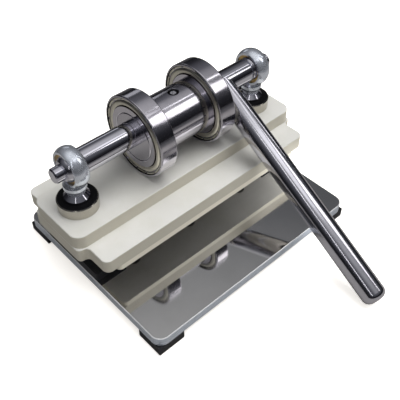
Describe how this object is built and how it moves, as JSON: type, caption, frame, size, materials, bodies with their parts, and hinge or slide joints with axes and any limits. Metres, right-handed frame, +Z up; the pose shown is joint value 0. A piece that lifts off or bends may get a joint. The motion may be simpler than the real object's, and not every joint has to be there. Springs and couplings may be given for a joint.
{
  "type": "dough sheeter",
  "caption": "Hand lever press for sheets of dough: an eccentric shaft with bearing rollers pushes a guided white plate down over a polished steel base on rubber feet.",
  "frame": {"origin": "middle of the overall box at rest, on the plane that the rubber feet stand on", "axes": "+X along the cam shaft to the right as seen from the lever side, -Y towards the user and the lever's free end, +Z up"},
  "size_m": [0.23, 0.2534, 0.1364],
  "materials": {
    "polished_steel": "mirror polished stainless steel plate with bright ground edges",
    "rubber": "matt black rubber",
    "screw_steel": "dark zinc-plated steel",
    "chrome": "ground and polished steel bar",
    "white_plastic": "milled warm-white food-grade plastic",
    "spring_steel": "drawn spring wire",
    "zinc_steel": "zinc-plated forged steel",
    "liner_brass": "brass-coloured sliding liner",
    "ball_steel": "hardened polished steel",
    "ground_steel": "ground bearing steel",
    "shield_steel": "pressed sheet shield, satin",
    "cage_plastic": "moulded black plastic"
  },
  "bodies": {
    "frame": {"base_plate": "polished_steel", "foot_screws": "screw_steel", "post_screws": "screw_steel", "foot_front_left": "rubber", "foot_front_right": "rubber", "foot_back_left": "rubber", "foot_back_right": "rubber", "spring_mat_left": "rubber", "guide_post_left": "chrome", "return_spring_left": "spring_steel", "rod_end_left": "zinc_steel", "rod_end_liner_left": "liner_brass", "spring_mat_right": "rubber", "guide_post_right": "chrome", "return_spring_right": "spring_steel", "rod_end_right": "zinc_steel", "rod_end_liner_right": "liner_brass"},
    "press_head": {"press_bar": "white_plastic", "press_plate": "white_plastic", "press_pad": "white_plastic", "plate_screws": "screw_steel", "spring_washer_left": "zinc_steel", "bush_shell_left": "ground_steel", "bush_seals_left": "rubber", "bush_balls_left": "ball_steel", "bush_cage_left": "cage_plastic", "spring_washer_right": "zinc_steel", "bush_shell_right": "ground_steel", "bush_seals_right": "rubber", "bush_balls_right": "ball_steel", "bush_cage_right": "cage_plastic"},
    "crank": {"cam_shaft": "chrome", "eccentric_sleeve": "ground_steel", "sleeve_set_screw": "screw_steel", "lever": "chrome", "rod_end_ball_left": "ball_steel", "inner_ring_left": "ground_steel", "rod_end_ball_right": "ball_steel", "inner_ring_right": "ground_steel"},
    "roller_left": {"outer_ring_left": "ground_steel", "roller_shields_left": "shield_steel", "roller_balls_left": "ball_steel", "ball_cage_left": "shield_steel"},
    "roller_right": {"outer_ring_right": "ground_steel", "roller_shields_right": "shield_steel", "roller_balls_right": "ball_steel", "ball_cage_right": "shield_steel"}
  },
  "joints": [
    {"name": "lever_turn", "type": "hinge", "parent": "frame", "child": "crank", "pos_m": [0, 0.06371, 0.1069], "axis": [-1, 0, 0], "range_deg": [0, 150]},
    {"name": "head_slide", "type": "slide", "parent": "frame", "child": "press_head", "axis": [0, 0, 1], "range_m": [0, 0.0045], "deforming": ["return_spring_left", "return_spring_right"]},
    {"name": "roller_left_spin", "type": "hinge", "parent": "crank", "child": "roller_left", "pos_m": [-0.029, 0.06371, 0.1024], "axis": [1, 0, 0], "continuous": true},
    {"name": "roller_right_spin", "type": "hinge", "parent": "crank", "child": "roller_right", "pos_m": [0.0314, 0.06371, 0.1024], "axis": [1, 0, 0], "continuous": true}
  ],
  "couplings": [
    {"joint": "head_slide", "follows": "lever_turn", "m_per_rad": 0.0016}
  ]
}
